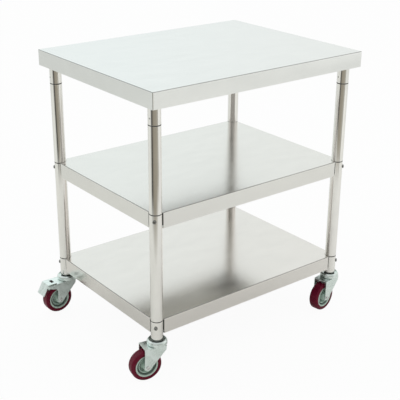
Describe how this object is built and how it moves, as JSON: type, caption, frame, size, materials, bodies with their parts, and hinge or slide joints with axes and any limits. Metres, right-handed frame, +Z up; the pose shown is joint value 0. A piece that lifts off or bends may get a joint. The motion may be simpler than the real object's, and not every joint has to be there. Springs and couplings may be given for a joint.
{
  "type": "utility cart",
  "caption": "Three tier stainless steel utility cart with folded shelves, round tube legs and swivel casters, some with a foot brake.",
  "frame": {"origin": "on the floor, midway between the four legs", "axes": "+X along the long side, +Y along the short side towards the braked casters, +Z up"},
  "size_m": [0.884, 0.628, 0.918],
  "materials": {
    "sheet_steel": "pale semi-mirror stainless sheet",
    "folded_steel": "dull stainless sheet",
    "tube_steel": "polished stainless tube",
    "zinc": "pale zinc plated pressing",
    "bright_fastener": "bright turned steel",
    "black_plastic": "black moulded plastic",
    "hub_plastic": "grey-green moulded hub",
    "maroon_tread": "smooth maroon polyurethane"
  },
  "bodies": {
    "cart": {"top_shelf": "sheet_steel", "middle_shelf": "sheet_steel", "bottom_shelf": "sheet_steel", "top_stiffener": "folded_steel", "middle_stiffener": "folded_steel", "bottom_stiffener": "folded_steel", "leg_sockets": "tube_steel", "upper_legs": "tube_steel", "lower_legs": "tube_steel", "leg_feet": "tube_steel", "joint_plugs": "black_plastic", "corner_saddles": "folded_steel", "shelf_bolts": "bright_fastener", "shelf_nuts": "bright_fastener", "caster_heads": "zinc", "caster_expanders": "black_plastic"},
    "front_left_swivel": {"front_left_fork": "zinc", "front_left_axle": "bright_fastener"},
    "front_left_wheel": {"front_left_wheel_hub": "hub_plastic", "front_left_tyre": "maroon_tread"},
    "front_right_swivel": {"front_right_fork": "zinc", "front_right_axle": "bright_fastener"},
    "front_right_wheel": {"front_right_wheel_hub": "hub_plastic", "front_right_tyre": "maroon_tread"},
    "back_right_swivel": {"back_right_fork": "zinc", "back_right_axle": "bright_fastener"},
    "back_right_wheel": {"back_right_wheel_hub": "hub_plastic", "back_right_tyre": "maroon_tread"},
    "back_right_pedal": {"back_right_brake_pedal": "zinc"},
    "back_left_swivel": {"back_left_fork": "zinc", "back_left_axle": "bright_fastener"},
    "back_left_wheel": {"back_left_wheel_hub": "hub_plastic", "back_left_tyre": "maroon_tread"},
    "back_left_pedal": {"back_left_brake_pedal": "zinc"}
  },
  "joints": [
    {"name": "front_left_swivel_turn", "type": "hinge", "parent": "cart", "child": "front_left_swivel", "pos_m": [-0.3725, -0.272, 0.115], "axis": [0, 0, 1], "continuous": true},
    {"name": "front_left_wheel_roll", "type": "hinge", "parent": "front_left_swivel", "child": "front_left_wheel", "pos_m": [-0.4126, -0.26348, 0.05], "axis": [-0.2079, -0.9781, 0], "continuous": true},
    {"name": "front_right_swivel_turn", "type": "hinge", "parent": "cart", "child": "front_right_swivel", "pos_m": [0.3725, -0.272, 0.115], "axis": [0, 0, 1], "continuous": true},
    {"name": "front_right_wheel_roll", "type": "hinge", "parent": "front_right_swivel", "child": "front_right_wheel", "pos_m": [0.332, -0.27841, 0.05], "axis": [0.1564, -0.9877, 0], "continuous": true},
    {"name": "back_right_swivel_turn", "type": "hinge", "parent": "cart", "child": "back_right_swivel", "pos_m": [0.3725, 0.272, 0.115], "axis": [0, 0, 1], "continuous": true},
    {"name": "back_right_wheel_roll", "type": "hinge", "parent": "back_right_swivel", "child": "back_right_wheel", "pos_m": [0.33172, 0.27629, 0.05], "axis": [-0.1045, -0.9945, 0], "continuous": true},
    {"name": "back_right_pedal_tilt", "type": "hinge", "parent": "back_right_swivel", "child": "back_right_pedal", "pos_m": [0.30288, 0.27932, 0.106], "axis": [-0.1045, -0.9945, 0], "range_deg": [0, 14]},
    {"name": "back_left_swivel_turn", "type": "hinge", "parent": "cart", "child": "back_left_swivel", "pos_m": [-0.3725, 0.272, 0.115], "axis": [0, 0, 1], "continuous": true},
    {"name": "back_left_wheel_roll", "type": "hinge", "parent": "back_left_swivel", "child": "back_left_wheel", "pos_m": [-0.4135, 0.272, 0.05], "axis": [0, -1, 0], "continuous": true},
    {"name": "back_left_pedal_tilt", "type": "hinge", "parent": "back_left_swivel", "child": "back_left_pedal", "pos_m": [-0.4425, 0.272, 0.106], "axis": [0, -1, 0], "range_deg": [0, 14]}
  ]
}
